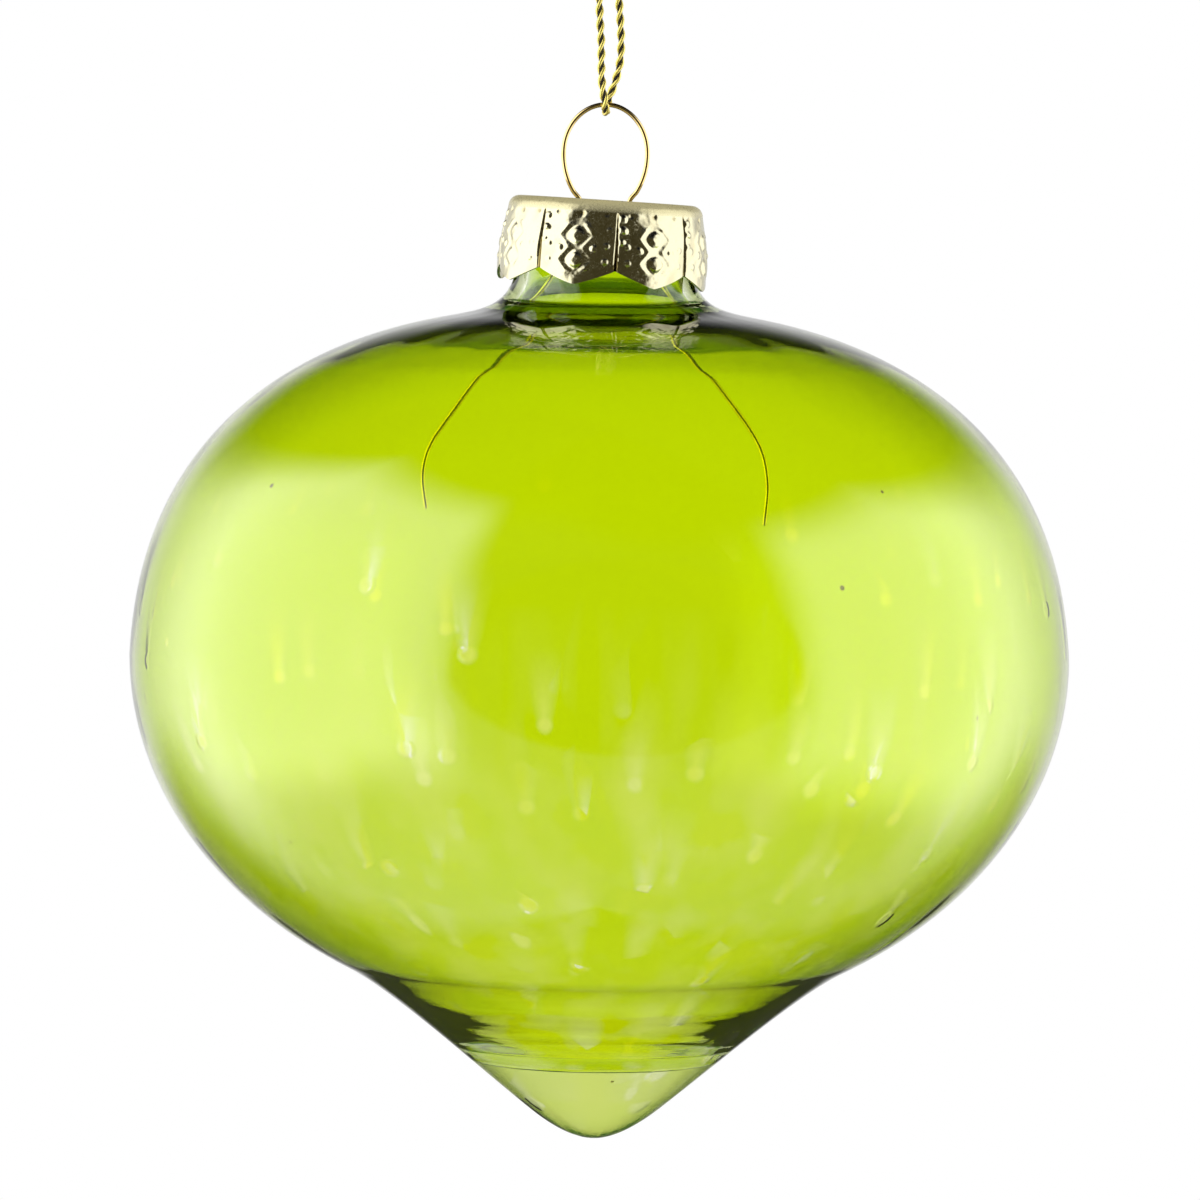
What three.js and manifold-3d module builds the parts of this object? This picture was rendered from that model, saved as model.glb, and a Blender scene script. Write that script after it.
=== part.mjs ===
// A blown-glass tree ornament: a thin lime glass bulb drawn to a point below, a stamped crown cap
// with scalloped gores over its neck, a sprung wire hanger whose legs spread inside the glass,
// and a loop of metallic cord tied off above. Millimetres, +Z up, seen from -Y.
// The part hangs, so its origin is the point inside the cord loop where a hook goes.
import * as THREE from "three";
import { mergeVertices } from "three/addons/utils/BufferGeometryUtils.js";
import Module from "manifold-3d";

const wasm = await Module();
wasm.setup();

// Bulb outline. Heights are counted from the widest level of the glass.
const bulbRadius = 50;
const lowerDepth = 39.9; // half-height of the ellipse below the widest level
const upperRise = 41.8; // half-height of the squarer curve above it
const upperSink = 4.5; // how far below the widest level that curve is centred
const upperPower = 2.42; // 2 is an ellipse, higher is squarer
const flareRadius = 27; // where the underside turns from the ellipse into the drawn point
const flareStart = 5; // how long the flare keeps the ellipse's direction
const coneRadius = 7; // where the flare has become a cone
const coneHeight = -48.4;
const coneSlope = 0.8;
const coneStart = 6;
const tipHeight = -51.7;
const shoulderRadius = 17.6; // where the shoulder starts to turn up into the neck
const neckRadius = 9.2;
const neckTurn = 5.1; // how far in the neck's fillet keeps the shoulder's direction
const filletDrop = 7.3; // how far down the fillet keeps the neck's direction
const neckStraight = 43.5; // above this height the neck is a plain tube
const neckRim = 47.6;
const neckWall = 1.2;
// Wall of the glass by height. It is heavy where the point was drawn and where the neck springs.
const wallTable = [
  [-48, 1.2], [-44.6, 1.4], [-43.6, 1.45], [-41, 1.12], [-37, 0.75], [-32, 0.6], [31, 0.6],
  [33.3, 0.7], [34.2, 0.78], [35.1, 0.88], [36, 1.1], [36.6, 1.5], [37.4, 1.9], [39, 1.75],
  [41, 1.45], [neckStraight, neckWall],
];
const bulbSegments = 40;
const curveSteps = { tip: 4, drawn: 10, fillet: 6, lip: 4 };

// Crown cap, a stamped sheet. Heights are counted down from its top face.
const capTop = 48.5;
const capRadius = 10.35; // just below the rounded shoulder
const capSwell = 0.6; // the skirt swells by this much on its way down
const capSwellTurn = 1.9; // radians of the sine that the swelling follows
const capCorner = 1.2;
const capSheet = 0.3;
const capTopRings = [3.2, 6.2]; // radii of the grid's rows on the flat top
const gores = 8;
const goreTurn = -15; // degrees from the front to the middle of the first gore
const lobeDepth = 9;
const pleatDepth = 7.4;
const lobePower = 1.2; // 1 is a pointed lobe with straight sides, 2 a parabola
const pleatFold = 0.55; // how deep the fold between two gores is pressed in
const pleatWidth = 0.09; // share of half a gore
const goreCrown = 0.15;
const capTilt = 3; // degrees: the cap sits a little crooked on the neck
const capShift = 0.15;
const wireHoleRadius = 0.75;
const drillLength = 4 * capSheet;
const drillSides = 16;

// Wire hanger.
const wireRadius = 0.25;
const wireSides = 8;
const ringSteps = 48;
const ringHalfWidth = 4.45;
const ringStand = 5; // from the cap's top face up to the ring's widest level
const ringWidest = capTop + ringStand;
const ringRise = 5.15; // from there to the wire's middle at the top
const ringFall = 6.2; // half-height of the ellipse that its lower part follows
const ringTurn = 130; // degrees from the top to where the ring straightens for its holes
const wireSpacing = 2.65; // half the distance between the two wires where they pass the cap
const wireEntry = 1.1; // how far below the cap's top face the ring's node ends
const wireJoint = 0.3; // gap between the ring's node and each leg's
const legDrop = 1.4; // a leg runs nearly straight down this far before it spreads
const legSpread = 0.25; // how far it spreads over that drop
const legSteps = 24;
const ringTop = ringWidest + ringRise;

// Cord loop and its knot. The cord's points are counted from the wire's middle at the ring's top.
const cordRadius = 0.45;
const cordSides = 8;
const cordSteps = 64;
const loopRise = 15; // from the ring's top to the point where the loop hangs on its hook
const knotGap = 0.3;
const knotRadius = 1.7;
const knotHeight = 3.2;
const knotEnd = 0.55; // radius of the knot's two ends, as a share of its middle's
const knotWaist = 0.25; // how far the knot draws in between its two turns
const knotPinch = 4; // the higher, the shorter that waist
const knotRows = 8;
const knotSides = 16;
const tailLength = 4.2;
const tailLean = 14; // degrees
const tailSpread = 0.62;

const hangHeight = ringTop + loopRise;

const weldDistance = 1e-4; // points of a mesh closer together than this are one point

function material(color, roughness, metalness) {
  return new THREE.MeshStandardMaterial({ color, roughness, metalness });
}

const glassPaint = material(0xc3dc14, 0.06, 0);
glassPaint.transparent = true;
glassPaint.opacity = 0.55;

// Turns a closed geometry into a solid that can be cut or joined.
function solidFrom(geometry) {
  const bare = geometry.clone();
  bare.deleteAttribute("normal");
  bare.deleteAttribute("uv");
  const merged = mergeVertices(bare, weldDistance);
  const vertProperties = merged.attributes.position.array;
  const triVerts = new Uint32Array(merged.index.array);
  return new wasm.Manifold(new wasm.Mesh({ numProp: 3, vertProperties, triVerts }));
}

function geometryFrom(solid) {
  const mesh = solid.getMesh();
  const geometry = new THREE.BufferGeometry();
  geometry.setAttribute("position", new THREE.BufferAttribute(mesh.vertProperties, 3));
  geometry.setIndex(new THREE.BufferAttribute(mesh.triVerts, 1));
  geometry.computeVertexNormals();
  return geometry;
}

function named(name, geometry, paint) {
  const mesh = new THREE.Mesh(geometry, paint);
  mesh.name = name;
  return mesh;
}

// A round bar of the given number of sides along a curve.
function barAlong(curve, radius, sides, steps) {
  const section = new THREE.Shape();
  for (let i = 0; i < sides; i++) {
    const angle = (2 * Math.PI * i) / sides;
    const x = radius * Math.cos(angle);
    const y = radius * Math.sin(angle);
    if (i === 0) section.moveTo(x, y);
    else section.lineTo(x, y);
  }
  section.closePath();
  return new THREE.ExtrudeGeometry(section, { steps, bevelEnabled: false, extrudePath: curve });
}

// Height of the bulb's outside at a radius, below and above the widest level.
function lowerHeight(radius) {
  return -lowerDepth * Math.sqrt(1 - (radius / bulbRadius) ** 2);
}

// The upper curve's own half-width, so that it meets the lower one at the widest level.
const upperRadius = bulbRadius / (1 - (upperSink / upperRise) ** upperPower) ** (1 / upperPower);

function upperHeight(radius) {
  const share = 1 - (radius / upperRadius) ** upperPower;
  return upperRise * share ** (1 / upperPower) - upperSink;
}

function slopeOf(height, radius) {
  const step = 0.01;
  return (height(radius + step) - height(radius - step)) / (2 * step);
}

// Outside of the glass from the tip up to the rim, as points (radius, height).
function bulbOutline() {
  const cone = new THREE.Vector2(coneRadius, coneHeight);
  const flare = new THREE.Vector2(flareRadius, lowerHeight(flareRadius));
  const flareSlope = slopeOf(lowerHeight, flareRadius);
  const tip = new THREE.QuadraticBezierCurve(
    new THREE.Vector2(0, tipHeight),
    new THREE.Vector2(coneRadius - (coneHeight - tipHeight) / coneSlope, tipHeight),
    cone,
  );
  const drawn = new THREE.CubicBezierCurve(
    cone,
    new THREE.Vector2(cone.x + coneStart, cone.y + coneStart * coneSlope),
    new THREE.Vector2(flare.x - flareStart, flare.y - flareStart * flareSlope),
    flare,
  );
  const shoulder = new THREE.Vector2(shoulderRadius, upperHeight(shoulderRadius));
  const shoulderSlope = slopeOf(upperHeight, shoulderRadius);
  const fillet = new THREE.CubicBezierCurve(
    shoulder,
    new THREE.Vector2(shoulder.x - neckTurn, shoulder.y - neckTurn * shoulderSlope),
    new THREE.Vector2(neckRadius, neckStraight - filletDrop),
    new THREE.Vector2(neckRadius, neckStraight),
  );
  const points = [
    ...tip.getPoints(curveSteps.tip),
    ...drawn.getPoints(curveSteps.drawn).slice(1),
  ];
  // Even turns of the ellipse's angle keep the facets fine where it bends most.
  const lowerRows = 7;
  const lowerAngle = Math.asin(flareRadius / bulbRadius);
  for (let i = 1; i <= lowerRows; i++) {
    const angle = lowerAngle + (i / lowerRows) * (Math.PI / 2 - lowerAngle);
    const radius = bulbRadius * Math.sin(angle);
    points.push(new THREE.Vector2(radius, i < lowerRows ? lowerHeight(radius) : 0));
  }
  const upperRows = 9;
  const fromAngle = Math.asin(bulbRadius / upperRadius);
  const toAngle = Math.asin(shoulderRadius / upperRadius);
  for (let i = 1; i < upperRows; i++) {
    const radius = upperRadius * Math.sin(fromAngle + (i / upperRows) * (toAngle - fromAngle));
    points.push(new THREE.Vector2(radius, upperHeight(radius)));
  }
  return [...points, ...fillet.getPoints(curveSteps.fillet)];
}

// Wall at a height. It runs straight between the rows of its table.
function wallAt(height) {
  const next = wallTable.findIndex(([level]) => level > height);
  if (next === 0) return wallTable[0][1];
  if (next < 0) return neckWall;
  const [[low, lowWall], [high, highWall]] = [wallTable[next - 1], wallTable[next]];
  return THREE.MathUtils.mapLinear(height, low, high, lowWall, highWall);
}

// The glass as one shell of revolution: outside, fire-polished lip, then the inside back down.
function bulbGeometry() {
  const outside = bulbOutline();
  const inside = outside.map((point, i) => {
    const before = outside[Math.max(i - 1, 0)];
    const after = outside[Math.min(i + 1, outside.length - 1)];
    const along = after.clone().sub(before).normalize();
    const wall = wallAt(point.y);
    return new THREE.Vector2(point.x - along.y * wall, point.y + along.x * wall);
  });
  inside[0].set(0, tipHeight + wallAt(tipHeight));
  inside.at(-1).set(neckRadius - neckWall, neckStraight);
  const lip = new THREE.EllipseCurve(
    neckRadius - neckWall / 2,
    neckRim - neckWall / 2,
    neckWall / 2,
    neckWall / 2,
    0,
    Math.PI,
  );
  const profile = [...outside, ...lip.getPoints(curveSteps.lip), ...inside.reverse()];
  return new THREE.LatheGeometry(profile, bulbSegments).rotateX(Math.PI / 2);
}

// Where the columns of the cap's grid stand across one gore, from -1 at one fold to 1 at the next.
const goreColumns = [-1, -0.9, -0.72, -0.4, 0, 0.4, 0.72, 0.9];

// Outline of the cap's sheet from its middle to its hem: radius, depth, outward direction, and
// how far down the skirt the row lies, 0 on the flat top and 1 at the hem.
function capRows(gore) {
  const hem = pleatDepth + (lobeDepth - pleatDepth) * (1 - Math.abs(gore) ** lobePower);
  const rows = capTopRings.map((radius) => ({ radius, depth: 0, outR: 0, outZ: 1, share: 0 }));
  const cornerRows = 4;
  for (let i = 0; i <= cornerRows; i++) {
    const angle = ((i / cornerRows) * Math.PI) / 2;
    const radius = capRadius - capCorner + capCorner * Math.sin(angle);
    const depth = capCorner - capCorner * Math.cos(angle);
    rows.push({ radius, depth, outR: Math.sin(angle), outZ: Math.cos(angle), share: 0 });
  }
  const skirtRows = 7;
  for (let i = 1; i <= skirtRows; i++) {
    const share = i / skirtRows;
    const radius = capRadius + capSwell * Math.sin(share * capSwellTurn);
    rows.push({ radius, depth: capCorner + share * (hem - capCorner), outR: 1, outZ: 0, share });
  }
  return rows;
}

// How far the stamping moves the sheet outwards: the folds press in, the gores crown out.
function stamping(gore, share) {
  const fold = Math.exp(-(((1 - Math.abs(gore)) / pleatWidth) ** 2));
  return share * (goreCrown * (1 - gore * gore) - pleatFold * fold);
}

function capGeometry() {
  const columns = [];
  for (let g = 0; g < gores; g++) {
    for (const gore of goreColumns) {
      const turn = goreTurn + ((g + gore / 2) * 360) / gores;
      columns.push({ gore, angle: THREE.MathUtils.degToRad(turn - 90) });
    }
  }
  const rowCount = capRows(0).length;
  const positions = [0, 0, 0, 0, 0, -capSheet];
  for (const face of [0, capSheet]) {
    for (const { gore, angle } of columns) {
      for (const row of capRows(gore)) {
        const radius = row.radius + stamping(gore, row.share) - face * row.outR;
        const height = -row.depth - face * row.outZ;
        positions.push(radius * Math.cos(angle), radius * Math.sin(angle), height);
      }
    }
  }
  const index = [];
  const inner = 2 + columns.length * rowCount;
  columns.forEach((_, c) => {
    const here = 2 + c * rowCount;
    const next = 2 + ((c + 1) % columns.length) * rowCount;
    const hereIn = inner + c * rowCount;
    const nextIn = inner + ((c + 1) % columns.length) * rowCount;
    index.push(0, here, next, 1, nextIn, hereIn);
    for (let r = 0; r + 1 < rowCount; r++) {
      index.push(here + r, here + r + 1, next + r + 1, here + r, next + r + 1, next + r);
      index.push(hereIn + r, nextIn + r + 1, hereIn + r + 1, hereIn + r, nextIn + r, nextIn + r + 1);
    }
    const hem = rowCount - 1;
    index.push(here + hem, hereIn + hem, nextIn + hem, here + hem, nextIn + hem, next + hem);
  });
  const sheet = new THREE.BufferGeometry();
  sheet.setAttribute("position", new THREE.Float32BufferAttribute(positions, 3));
  sheet.setIndex(index);
  return sheet;
}

// The cap with the two holes that its wire passes.
function piercedCap() {
  let solid = solidFrom(capGeometry());
  for (const side of [-1, 1]) {
    const drill = new THREE.CylinderGeometry(wireHoleRadius, wireHoleRadius, drillLength, drillSides);
    drill.rotateX(Math.PI / 2).translate(side * wireSpacing, 0, -capSheet / 2);
    solid = solid.subtract(solidFrom(drill));
  }
  return geometryFrom(solid);
}

// The ring of the hanger, from one hole in the cap round to the other.
function ringCurve() {
  const point = (x, z) => new THREE.Vector3(x, 0, z);
  const points = [];
  const arcSteps = 14;
  for (let i = 0; i <= arcSteps; i++) {
    const angle = THREE.MathUtils.degToRad(ringTurn * ((2 * i) / arcSteps - 1));
    const halfHeight = Math.cos(angle) > 0 ? ringRise : ringFall;
    points.push(point(ringHalfWidth * Math.sin(angle), ringWidest + halfHeight * Math.cos(angle)));
  }
  const straight = [capTop, capTop - wireEntry];
  return new THREE.CatmullRomCurve3([
    ...straight.toReversed().map((z) => point(-wireSpacing, z)),
    ...points,
    ...straight.map((z) => point(wireSpacing, z)),
  ]);
}

// A sprung leg, from below the cap through the neck to its hooked end. Each entry is how far out
// and how high the wire's middle lies.
const legPaths = {
  hanger_leg_left: [[7.1, 37], [11.7, 31.7], [15.4, 26.8], [18.3, 22.4], [19, 19.4], [18.6, 15.5]],
  hanger_leg_right: [[7.1, 37], [9.6, 32.8], [13.8, 27.1], [16.8, 22.4], [17.6, 18.6], [17.4, 14.1]],
};

function legCurve(side, path) {
  const start = capTop - wireEntry - wireJoint;
  const entry = new THREE.Vector3(side * wireSpacing, 0, start);
  const below = new THREE.Vector3(side * (wireSpacing + legSpread), 0, start - legDrop);
  return new THREE.CatmullRomCurve3([
    entry,
    below,
    ...path.map(([out, z]) => new THREE.Vector3(side * out, 0, z)),
  ]);
}

// The cord goes down in front, under the ring's wire and up behind, drawn apart by what it hangs on.
const cordPoints = [
  [-0.8, -0.1, 16], [-0.85, -0.2, 14], [-0.85, -0.35, 11.5], [-0.75, -0.5, 9], [-0.6, -0.7, 6.8],
  [-0.55, -0.95, 4.75], [-0.52, -1.25, 3.2], [-0.42, -1.55, 2], [-0.26, -1.75, 0.95],
  [-0.15, -1.62, 0.28], [-0.08, -1.24, -0.29], [-0.03, -0.67, -0.67], [0, 0, -0.8],
  [0.03, 0.67, -0.67], [0.1, 1.24, -0.29], [0.22, 1.62, 0.28], [0.4, 1.75, 0.95],
  [0.78, 1.6, 2], [1.15, 1.3, 3.2], [1.45, 0.95, 4.75], [1.52, 0.7, 6.8],
  [1.4, 0.5, 9], [1.2, 0.35, 11.5], [0.95, 0.2, 14], [0.8, 0.1, 16],
];

function cordCurve() {
  return new THREE.CatmullRomCurve3(
    cordPoints.map(([x, y, z]) => new THREE.Vector3(x, y, z + ringTop)),
  );
}

// The overhand knot that ties the loop, as its outer form, with the cord's two cut tails.
function knotGeometry() {
  const bottom = cordPoints[0][2] + ringTop + knotGap;
  const profile = [new THREE.Vector2(0, 0)];
  for (let i = 0; i <= knotRows; i++) {
    const angle = (i / knotRows) * Math.PI;
    const waist = knotWaist * Math.sin(angle) ** knotPinch;
    const radius = knotRadius * (knotEnd + (1 - knotEnd) * Math.sin(angle)) - waist;
    profile.push(new THREE.Vector2(radius, (knotHeight / 2) * (1 - Math.cos(angle))));
  }
  profile.push(new THREE.Vector2(0, knotHeight));
  let solid = solidFrom(new THREE.LatheGeometry(profile, knotSides).rotateX(Math.PI / 2));
  for (const side of [-1, 1]) {
    const tail = new THREE.CylinderGeometry(cordRadius, cordRadius, tailLength, cordSides);
    tail.rotateX(Math.PI / 2).translate(0, 0, tailLength / 2);
    tail.rotateY(THREE.MathUtils.degToRad(side * tailLean));
    tail.translate(side * tailSpread, 0, knotHeight - cordRadius);
    solid = solid.add(solidFrom(tail));
  }
  return geometryFrom(solid).translate(0, 0, bottom);
}

const gold = { cap: material(0xe6dcae, 0.2, 1), wire: material(0xd9b25a, 0.28, 1) };
const cordPaint = material(0xc9b23e, 0.5, 0.4);

const ornament = new THREE.Group();
ornament.position.z = -hangHeight;

ornament.add(named("glass_bulb", bulbGeometry(), glassPaint));

const cap = named("crown_cap", piercedCap(), gold.cap);
cap.position.set(capShift, 0, capTop);
cap.rotation.y = THREE.MathUtils.degToRad(capTilt);
ornament.add(cap);

const ring = barAlong(ringCurve(), wireRadius, wireSides, ringSteps);
ornament.add(named("hanger_ring", ring, gold.wire));
for (const [name, path] of Object.entries(legPaths)) {
  const side = name.endsWith("left") ? -1 : 1;
  const leg = barAlong(legCurve(side, path), wireRadius, wireSides, legSteps);
  ornament.add(named(name, leg, gold.wire));
}

const cord = barAlong(cordCurve(), cordRadius, cordSides, cordSteps);
ornament.add(named("cord_loop", cord, cordPaint));
ornament.add(named("cord_knot", knotGeometry(), cordPaint));

export default ornament;
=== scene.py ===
"""A blown-glass tree ornament: lime-lacquered glass drawn to a point, a stamped crown cap, a
sprung wire hanger and a loop of metallic cord. Shapes are worked out in millimetres and put in
metres."""

import math

import bpy
import numpy as np
from mathutils import Matrix, Vector


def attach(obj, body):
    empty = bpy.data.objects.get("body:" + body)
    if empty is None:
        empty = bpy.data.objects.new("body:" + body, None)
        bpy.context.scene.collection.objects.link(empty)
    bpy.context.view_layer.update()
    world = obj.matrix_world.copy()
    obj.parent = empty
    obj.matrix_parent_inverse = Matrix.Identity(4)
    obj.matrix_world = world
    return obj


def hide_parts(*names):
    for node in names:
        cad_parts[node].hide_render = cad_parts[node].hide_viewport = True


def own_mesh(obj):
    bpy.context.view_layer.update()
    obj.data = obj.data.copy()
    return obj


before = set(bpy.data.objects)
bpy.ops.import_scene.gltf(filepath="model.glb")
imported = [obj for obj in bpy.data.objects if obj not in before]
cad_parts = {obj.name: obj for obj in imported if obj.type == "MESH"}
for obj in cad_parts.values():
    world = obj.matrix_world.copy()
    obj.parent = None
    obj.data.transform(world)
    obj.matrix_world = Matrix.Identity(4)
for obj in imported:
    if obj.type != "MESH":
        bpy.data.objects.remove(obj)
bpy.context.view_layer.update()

MM = 0.001
HANG = 73.65  # the glass's widest level lies this far under the point that the cord hangs from

# Camera, level with the cap and about 0.7 m away, as in the photograph.
SENSOR_WIDTH, LENS, CAMERA_ROLL = 36, 197.3, 0.7  # millimetres, and degrees
camera_data = bpy.data.cameras.new("camera")
camera_data.sensor_width = SENSOR_WIDTH
camera_data.lens = LENS
camera = bpy.data.objects.new("camera", camera_data)
bpy.context.collection.objects.link(camera)
camera_place = Vector((0, -0.700, -0.0287))
camera_target = Vector((0, 0, -0.06768))
camera_turn = (camera_target - camera_place).to_track_quat("-Z", "Y").to_matrix().to_4x4()
camera_roll = Matrix.Rotation(math.radians(CAMERA_ROLL), 4, "Z")
camera.matrix_world = Matrix.Translation(camera_place) @ camera_turn @ camera_roll
bpy.context.scene.camera = camera


# Meshes from grids.

def unit(vectors):
    """Each vector divided by its length."""
    return vectors / np.linalg.norm(vectors, axis=-1, keepdims=True)


def grid_of(x, y, z):
    """Points from their X, Y and Z, each of which may be one row, one column or a whole grid."""
    return np.stack(np.broadcast_arrays(x, y, z), axis=-1)


def ring_faces(rows, columns):
    """Faces of a grid whose rows are closed rings and whose first and last rows are one point
    each: a fan of triangles at either end, and quads between. Returned as corner numbers, the
    number of corners of each face, and the row that each face starts at."""
    here = 1 + np.arange((rows - 2) * columns).reshape(rows - 2, columns)
    nextway = np.roll(here, -1, axis=1)
    quads = np.stack([here[:-1], nextway[:-1], nextway[1:], here[1:]], axis=-1).reshape(-1, 4)
    first = np.stack([np.zeros(columns, int), nextway[0], here[0]], axis=-1)
    last = np.full(columns, 1 + (rows - 2) * columns)
    final = np.stack([last, here[-1], nextway[-1]], axis=-1)
    corners = np.concatenate([first.ravel(), quads.ravel(), final.ravel()])
    counts = np.concatenate([np.full(columns, 3), np.full(len(quads), 4), np.full(columns, 3)])
    row = np.repeat(np.arange(rows - 1), columns)
    return corners, counts, row


def ring_cloud(grid):
    """The grid's points with its first and last row as one point each."""
    middle = grid[1:-1].reshape(-1, grid.shape[-1])
    return np.concatenate([grid[0, :1], middle, grid[-1, :1]])


def piece(name, shells, materials, body, nodes, crease=50):
    """One mesh from closed shells. A shell is its grid of points in millimetres, the grid of its
    wrap coordinates (round the form and along it, in millimetres) and the material of each row.
    A shell whose faces look inwards, by the sign of its volume, is turned inside out."""
    points, wraps, corners, counts, paints = [], [], [], [], []
    start = 0
    for grid, wrap, paint in shells:
        numbers, sizes, row = ring_faces(*grid.shape[:2])
        cloud = ring_cloud(grid)
        starts = np.concatenate([[0], np.cumsum(sizes)[:-1]])
        a, b, c = (cloud[numbers[starts + i]] for i in range(3))
        quad = sizes == 4
        d = cloud[numbers[starts[quad] + 3]]
        volume = np.einsum("ij,ij->", a, np.cross(b, c))
        volume += np.einsum("ij,ij->", a[quad], np.cross(c[quad], d))
        if volume < 0:
            ends = np.repeat(starts + sizes, sizes) - 1
            numbers = numbers[np.repeat(starts, sizes) + ends - np.arange(len(numbers))]
        points.append(cloud)
        wraps.append(ring_cloud(wrap))
        corners.append(numbers + start)
        counts.append(sizes)
        paints.append(np.broadcast_to(paint, grid.shape[0] - 1)[row])
        start += len(cloud)
    points, wraps, corners, counts, paints = map(
        np.concatenate, (points, wraps, corners, counts, paints)
    )
    points = points - [0, 0, HANG]
    mesh = bpy.data.meshes.new(name)
    mesh.vertices.add(len(points))
    mesh.vertices.foreach_set("co", (points * MM).ravel())
    mesh.loops.add(len(corners))
    mesh.loops.foreach_set("vertex_index", corners.astype(np.int32))
    mesh.polygons.add(len(counts))
    mesh.polygons.foreach_set("loop_start", np.concatenate([[0], np.cumsum(counts)[:-1]]))
    mesh.polygons.foreach_set("material_index", paints.astype(np.int32))
    mesh.update(calc_edges=True)
    mesh.attributes.new("wrap", "FLOAT_VECTOR", "POINT").data.foreach_set("vector", wraps.ravel())
    mesh.polygons.foreach_set("use_smooth", np.ones(len(counts), bool))
    mesh.set_sharp_from_angle(angle=math.radians(crease))
    for material in materials:
        mesh.materials.append(material)
    made = bpy.data.objects.new(name, mesh)
    bpy.context.collection.objects.link(made)
    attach(made, body)
    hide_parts(*nodes)
    return made


def through(points, steps=12):
    """A smooth line through the points, the centripetal Catmull-Rom one: between two points it is
    three rounds of blending their neighbours, by the square roots of their distances."""
    points = np.asarray(points, float)
    held = np.concatenate([[2 * points[0] - points[1]], points, [2 * points[-1] - points[-2]]])
    knots = np.cumsum(np.sqrt(np.linalg.norm(np.diff(held, axis=0), axis=1)))
    knots = np.concatenate([[0], knots])
    spans = len(points) - 1
    p = [held[i:i + spans, None] for i in range(4)]
    t = [knots[i:i + spans, None, None] for i in range(4)]
    at = t[1] + (t[2] - t[1]) * (np.arange(steps) / steps)[None, :, None]

    def blend(a, b, ta, tb):
        """From a at the knot ta to b at the knot tb, straight."""
        return (a * (tb - at) + b * (at - ta)) / (tb - ta)

    first = [blend(p[i], p[i + 1], t[i], t[i + 1]) for i in range(3)]
    second = [blend(first[i], first[i + 1], t[i], t[i + 2]) for i in range(2)]
    line = blend(second[0], second[1], t[1], t[2]).reshape(-1, 3)
    return np.concatenate([line, points[-1:]])


def lengths(line):
    """How far along the line each of its points lies."""
    return np.concatenate([[0], np.cumsum(np.linalg.norm(np.diff(line, axis=0), axis=1))])


def even(line, spacing):
    """The same line with its points evenly spaced along it."""
    far = lengths(line)
    at = np.linspace(0, far[-1], max(int(far[-1] / spacing), 2) + 1)
    return np.stack([np.interp(at, far, line[:, i]) for i in range(3)], axis=-1)


def across(line, side):
    """Two directions across the line at each point: the first is the side direction less its part
    along the line, and the second is square to both."""
    along = unit(np.gradient(line, axis=0))
    side = np.asarray(side, float)
    first = unit(side - along * (along @ side)[:, None])
    return first, np.cross(along, first)


def bar(line, radius, sides, side, rounding, paint=0):
    """A round bar along the line as a shell: each ring is a circle across the line, and towards
    either end its radius follows a quarter ellipse down to nothing over the rounding length."""
    first, second = across(line, side)
    far = lengths(line)
    near_end = np.minimum(np.minimum(far, far[-1] - far) / rounding, 1)
    size = radius * np.sqrt(1 - (1 - near_end) ** 2)
    turn = np.arange(sides) / sides * 2 * math.pi
    x, y = np.cos(turn)[None, :, None], np.sin(turn)[None, :, None]
    grid = line[:, None] + size[:, None, None] * (x * first[:, None] + y * second[:, None])
    wrap = grid_of(radius * x[..., 0], radius * y[..., 0], far[:, None])
    return grid, wrap, paint


# Materials. Each is named for what the real surface is.

def linear(hexa):
    """An sRGB hex colour as linear red, green, blue and alpha."""
    parts = [int(hexa[i:i + 2], 16) / 255 for i in (1, 3, 5)]
    return [p / 12.92 if p <= 0.04045 else ((p + 0.055) / 1.055) ** 2.4 for p in parts] + [1.0]


def new_material(name):
    """An empty node material, with its tree."""
    material = bpy.data.materials.new(name)
    material.use_nodes = True
    material.node_tree.nodes.clear()
    return material, material.node_tree


def add(tree, kind, inputs=None, **settings):
    """Adds a node with its settings, and sets each input to a value or links it to an output."""
    made = tree.nodes.new(kind)
    for key, value in settings.items():
        setattr(made, key, value)
    for key, value in (inputs or {}).items():
        if isinstance(value, bpy.types.NodeSocket):
            tree.links.new(value, made.inputs[key])
        else:
            made.inputs[key].default_value = value
    return made.outputs


def calc(tree, operation, *values):
    """The operation on one to three numbers, each of them a value or an output."""
    return add(tree, "ShaderNodeMath", dict(enumerate(values)), operation=operation)["Value"]


def vector(tree, operation, *values):
    """The same on vectors. Their length is a number, and all else is a vector."""
    outputs = add(tree, "ShaderNodeVectorMath", dict(enumerate(values)), operation=operation)
    return outputs["Value" if operation == "LENGTH" else "Vector"]


def split(tree, whole):
    """The X, Y and Z of a vector."""
    return add(tree, "ShaderNodeSeparateXYZ", {"Vector": whole})


def scaled(tree, place, scale):
    """The place times the scale along X, Y and Z."""
    return add(tree, "ShaderNodeMapping", {"Vector": place, "Scale": scale})["Vector"]


def ramp(tree, value, low, high, start=0.0, end=1.0, kind="LINEAR"):
    """Start where the value is at low, end where it is at high, and a straight change between
    them, or an eased one of the kind SMOOTHSTEP."""
    return add(tree, "ShaderNodeMapRange", {
        "Value": value, "From Min": low, "From Max": high, "To Min": start, "To Max": end},
        interpolation_type=kind)["Result"]


def eased(tree, value, low, high, start=0.0, end=1.0):
    """A ramp with soft ends."""
    return ramp(tree, value, low, high, start, end, "SMOOTHSTEP")


def between(tree, factor, first, second):
    """The first number where the factor is 0 and the second where it is 1."""
    return add(tree, "ShaderNodeMix", {"Factor": factor, 2: first, 3: second})[0]


def tint(tree, factor, first, second):
    """The same for two colours. Each is an sRGB hex colour, a linear colour or an output."""
    first, second = (linear(c) if isinstance(c, str) else c for c in (first, second))
    return add(tree, "ShaderNodeMix", {"Factor": factor, 6: first, 7: second},
               data_type="RGBA")[2]


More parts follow.
